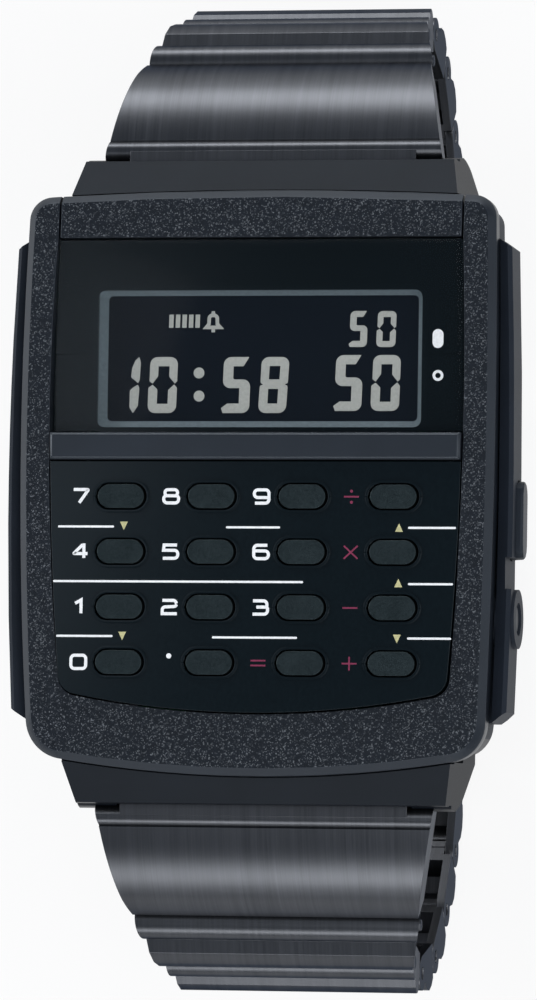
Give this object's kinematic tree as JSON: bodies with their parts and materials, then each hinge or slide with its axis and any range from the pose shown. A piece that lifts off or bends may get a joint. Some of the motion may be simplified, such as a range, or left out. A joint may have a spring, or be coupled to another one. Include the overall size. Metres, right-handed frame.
{
  "type": "calculator watch",
  "caption": "Wrist watch with a calculator keypad under its display, on a tapering folded-link steel bracelet closed by a folding clasp; the keys, side buttons and links move.",
  "frame": {"origin": "middle of the flat on the folding clasp that the closed watch stands on, straight below the middle of the case", "axes": "+Z out of the watch face, +Y towards 12 o'clock along the band, +X towards 3 o'clock"},
  "size_m": [0.0379, 0.0738, 0.045],
  "materials": {
    "back_steel": "stainless steel, brushed",
    "band_steel": "black ion-plated steel, brushed along the band",
    "bar_resin": "smooth satin dark grey",
    "board_green": "green solder mask",
    "case_resin": "satin dark resin with a metallic coat",
    "cell_steel": "nickel-plated steel",
    "clear_glass": "clear, polished, with a bevelled edge",
    "flake_resin": "dark grey resin with fine metal flake",
    "frame_grey": "matte blue grey",
    "key_rubber": "dark grey rubber, finely speckled",
    "keypad_gloss": "very dark teal black, glossy",
    "lcd_dark": "negative liquid crystal display, near black with pale segments",
    "mask_print": "black print, glossy",
    "mat_rubber": "grey rubber",
    "module_plastic": "black moulded plastic",
    "screw_steel": "stainless steel",
    "sounder_brass": "plain brass"
  },
  "bodies": {
    "case": {"case_body": "case_resin", "bezel": "flake_resin", "top_plate": "flake_resin", "centre_bar": "bar_resin", "crystal": "clear_glass", "dial_mask": "mask_print", "display_frame": "frame_grey", "lcd_panel": "lcd_dark", "keypad_panel": "keypad_gloss", "key_mat": "mat_rubber", "module_frame": "module_plastic", "circuit_board": "board_green", "contact_strips": "mat_rubber", "battery": "cell_steel", "battery_clip": "cell_steel", "sounder_disc": "sounder_brass", "back_gasket": "mat_rubber", "back_cover": "back_steel", "back_screws": "screw_steel", "button_seals": "mat_rubber", "spring_bars": "screw_steel"},
    "key_7_body": {"key_7": "key_rubber"},
    "key_8_body": {"key_8": "key_rubber"},
    "key_9_body": {"key_9": "key_rubber"},
    "key_divide_body": {"key_divide": "key_rubber"},
    "key_4_body": {"key_4": "key_rubber"},
    "key_5_body": {"key_5": "key_rubber"},
    "key_6_body": {"key_6": "key_rubber"},
    "key_times_body": {"key_times": "key_rubber"},
    "key_1_body": {"key_1": "key_rubber"},
    "key_2_body": {"key_2": "key_rubber"},
    "key_3_body": {"key_3": "key_rubber"},
    "key_minus_body": {"key_minus": "key_rubber"},
    "key_0_body": {"key_0": "key_rubber"},
    "key_point_body": {"key_point": "key_rubber"},
    "key_equals_body": {"key_equals": "key_rubber"},
    "key_plus_body": {"key_plus": "key_rubber"},
    "mode_button_body": {"mode_button": "case_resin"},
    "adjust_button_body": {"adjust_button": "case_resin"},
    "upper_link_1_body": {"upper_link_1": "band_steel"},
    "upper_link_2_body": {"upper_link_2": "band_steel"},
    "upper_link_3_body": {"upper_link_3": "band_steel"},
    "upper_link_4_body": {"upper_link_4": "band_steel"},
    "upper_link_5_body": {"upper_link_5": "band_steel"},
    "upper_link_6_body": {"upper_link_6": "band_steel"},
    "upper_link_7_body": {"upper_link_7": "band_steel"},
    "upper_link_8_body": {"upper_link_8": "band_steel"},
    "upper_link_9_body": {"upper_link_9": "band_steel"},
    "clasp_cover_body": {"clasp_cover": "band_steel", "clasp_pins": "band_steel"},
    "outer_blade_body": {"clasp_outer_blade": "band_steel"},
    "inner_blade_body": {"clasp_inner_blade": "band_steel"},
    "lower_link_1_body": {"lower_link_1": "band_steel"},
    "lower_link_2_body": {"lower_link_2": "band_steel"},
    "lower_link_3_body": {"lower_link_3": "band_steel"},
    "lower_link_4_body": {"lower_link_4": "band_steel"},
    "lower_link_5_body": {"lower_link_5": "band_steel"},
    "lower_link_6_body": {"lower_link_6": "band_steel"},
    "lower_link_7_body": {"lower_link_7": "band_steel"}
  },
  "joints": [
    {"name": "key_7_press", "type": "slide", "parent": "case", "child": "key_7_body", "axis": [0, 0, -1], "range_m": [0, 0.00045], "stiffness_N_per_m": 300, "springref_m": -0.0003},
    {"name": "key_8_press", "type": "slide", "parent": "case", "child": "key_8_body", "axis": [0, 0, -1], "range_m": [0, 0.00045], "stiffness_N_per_m": 300, "springref_m": -0.0003},
    {"name": "key_9_press", "type": "slide", "parent": "case", "child": "key_9_body", "axis": [0, 0, -1], "range_m": [0, 0.00045], "stiffness_N_per_m": 300, "springref_m": -0.0003},
    {"name": "key_divide_press", "type": "slide", "parent": "case", "child": "key_divide_body", "axis": [0, 0, -1], "range_m": [0, 0.00045], "stiffness_N_per_m": 300, "springref_m": -0.0003},
    {"name": "key_4_press", "type": "slide", "parent": "case", "child": "key_4_body", "axis": [0, 0, -1], "range_m": [0, 0.00045], "stiffness_N_per_m": 300, "springref_m": -0.0003},
    {"name": "key_5_press", "type": "slide", "parent": "case", "child": "key_5_body", "axis": [0, 0, -1], "range_m": [0, 0.00045], "stiffness_N_per_m": 300, "springref_m": -0.0003},
    {"name": "key_6_press", "type": "slide", "parent": "case", "child": "key_6_body", "axis": [0, 0, -1], "range_m": [0, 0.00045], "stiffness_N_per_m": 300, "springref_m": -0.0003},
    {"name": "key_times_press", "type": "slide", "parent": "case", "child": "key_times_body", "axis": [0, 0, -1], "range_m": [0, 0.00045], "stiffness_N_per_m": 300, "springref_m": -0.0003},
    {"name": "key_1_press", "type": "slide", "parent": "case", "child": "key_1_body", "axis": [0, 0, -1], "range_m": [0, 0.00045], "stiffness_N_per_m": 300, "springref_m": -0.0003},
    {"name": "key_2_press", "type": "slide", "parent": "case", "child": "key_2_body", "axis": [0, 0, -1], "range_m": [0, 0.00045], "stiffness_N_per_m": 300, "springref_m": -0.0003},
    {"name": "key_3_press", "type": "slide", "parent": "case", "child": "key_3_body", "axis": [0, 0, -1], "range_m": [0, 0.00045], "stiffness_N_per_m": 300, "springref_m": -0.0003},
    {"name": "key_minus_press", "type": "slide", "parent": "case", "child": "key_minus_body", "axis": [0, 0, -1], "range_m": [0, 0.00045], "stiffness_N_per_m": 300, "springref_m": -0.0003},
    {"name": "key_0_press", "type": "slide", "parent": "case", "child": "key_0_body", "axis": [0, 0, -1], "range_m": [0, 0.00045], "stiffness_N_per_m": 300, "springref_m": -0.0003},
    {"name": "key_point_press", "type": "slide", "parent": "case", "child": "key_point_body", "axis": [0, 0, -1], "range_m": [0, 0.00045], "stiffness_N_per_m": 300, "springref_m": -0.0003},
    {"name": "key_equals_press", "type": "slide", "parent": "case", "child": "key_equals_body", "axis": [0, 0, -1], "range_m": [0, 0.00045], "stiffness_N_per_m": 300, "springref_m": -0.0003},
    {"name": "key_plus_press", "type": "slide", "parent": "case", "child": "key_plus_body", "axis": [0, 0, -1], "range_m": [0, 0.00045], "stiffness_N_per_m": 300, "springref_m": -0.0003},
    {"name": "mode_press", "type": "slide", "parent": "case", "child": "mode_button_body", "axis": [-1, 0, 0], "range_m": [0, 0.0006], "stiffness_N_per_m": 300, "springref_m": -0.0003},
    {"name": "adjust_press", "type": "slide", "parent": "case", "child": "adjust_button_body", "axis": [-1, 0, 0], "range_m": [0, 0.0006], "stiffness_N_per_m": 300, "springref_m": -0.0003},
    {"name": "upper_hinge_1", "type": "hinge", "parent": "case", "child": "upper_link_1_body", "pos_m": [0, 0.0227, 0.03851], "axis": [1, 0, 0], "range_deg": [0, 8]},
    {"name": "upper_hinge_2", "type": "hinge", "parent": "upper_link_1_body", "child": "upper_link_2_body", "pos_m": [0, 0.0318, 0.03212], "axis": [1, 0, 0], "range_deg": [0, 27.9]},
    {"name": "upper_hinge_3", "type": "hinge", "parent": "upper_link_2_body", "child": "upper_link_3_body", "pos_m": [0, 0.03444, 0.02695], "axis": [1, 0, 0], "range_deg": [0, 20]},
    {"name": "upper_hinge_4", "type": "hinge", "parent": "upper_link_3_body", "child": "upper_link_4_body", "pos_m": [0, 0.03514, 0.02119], "axis": [1, 0, 0], "range_deg": [0, 30]},
    {"name": "upper_hinge_5", "type": "hinge", "parent": "upper_link_4_body", "child": "upper_link_5_body", "pos_m": [0, 0.03288, 0.01585], "axis": [1, 0, 0], "range_deg": [0, 27]},
    {"name": "upper_hinge_6", "type": "hinge", "parent": "upper_link_5_body", "child": "upper_link_6_body", "pos_m": [0, 0.02843, 0.01212], "axis": [1, 0, 0], "range_deg": [0, 7]},
    {"name": "upper_hinge_7", "type": "hinge", "parent": "upper_link_6_body", "child": "upper_link_7_body", "pos_m": [0, 0.02357, 0.00897], "axis": [1, 0, 0], "range_deg": [0, 3]},
    {"name": "upper_hinge_8", "type": "hinge", "parent": "upper_link_7_body", "child": "upper_link_8_body", "pos_m": [0, 0.01854, 0.00607], "axis": [1, 0, 0], "range_deg": [0, 6]},
    {"name": "upper_hinge_9", "type": "hinge", "parent": "upper_link_8_body", "child": "upper_link_9_body", "pos_m": [0, 0.01325, 0.00371], "axis": [1, 0, 0], "range_deg": [0, 10]},
    {"name": "clasp_cover_hinge", "type": "hinge", "parent": "upper_link_9_body", "child": "clasp_cover_body", "pos_m": [0, 0.00762, 0.0023], "axis": [1, 0, 0], "range_deg": [0, 20]},
    {"name": "outer_blade_hinge", "type": "hinge", "parent": "clasp_cover_body", "child": "outer_blade_body", "pos_m": [0, -0.0173, 0.00444], "axis": [1, 0, 0], "range_deg": [0, 80]},
    {"name": "inner_blade_hinge", "type": "hinge", "parent": "outer_blade_body", "child": "inner_blade_body", "pos_m": [0, 0.0044, 0.00197], "axis": [-1, 0, 0], "range_deg": [0, 85]},
    {"name": "lower_hinge_1", "type": "hinge", "parent": "case", "child": "lower_link_1_body", "pos_m": [0, -0.0227, 0.03851], "axis": [-1, 0, 0], "range_deg": [0, 8]},
    {"name": "lower_hinge_2", "type": "hinge", "parent": "lower_link_1_body", "child": "lower_link_2_body", "pos_m": [0, -0.03207, 0.03252], "axis": [-1, 0, 0], "range_deg": [0, 29.4]},
    {"name": "lower_hinge_3", "type": "hinge", "parent": "lower_link_2_body", "child": "lower_link_3_body", "pos_m": [0, -0.03479, 0.0274], "axis": [-1, 0, 0], "range_deg": [0, 20]},
    {"name": "lower_hinge_4", "type": "hinge", "parent": "lower_link_3_body", "child": "lower_link_4_body", "pos_m": [0, -0.0356, 0.02165], "axis": [-1, 0, 0], "range_deg": [0, 21]},
    {"name": "lower_hinge_5", "type": "hinge", "parent": "lower_link_4_body", "child": "lower_link_5_body", "pos_m": [0, -0.0343, 0.016], "axis": [-1, 0, 0], "range_deg": [0, 25]},
    {"name": "lower_hinge_6", "type": "hinge", "parent": "lower_link_5_body", "child": "lower_link_6_body", "pos_m": [0, -0.03073, 0.01143], "axis": [-1, 0, 0], "range_deg": [0, 14]},
    {"name": "lower_hinge_7", "type": "hinge", "parent": "lower_link_6_body", "child": "lower_link_7_body", "pos_m": [0, -0.02616, 0.00786], "axis": [-1, 0, 0], "range_deg": [0, 16]}
  ]
}
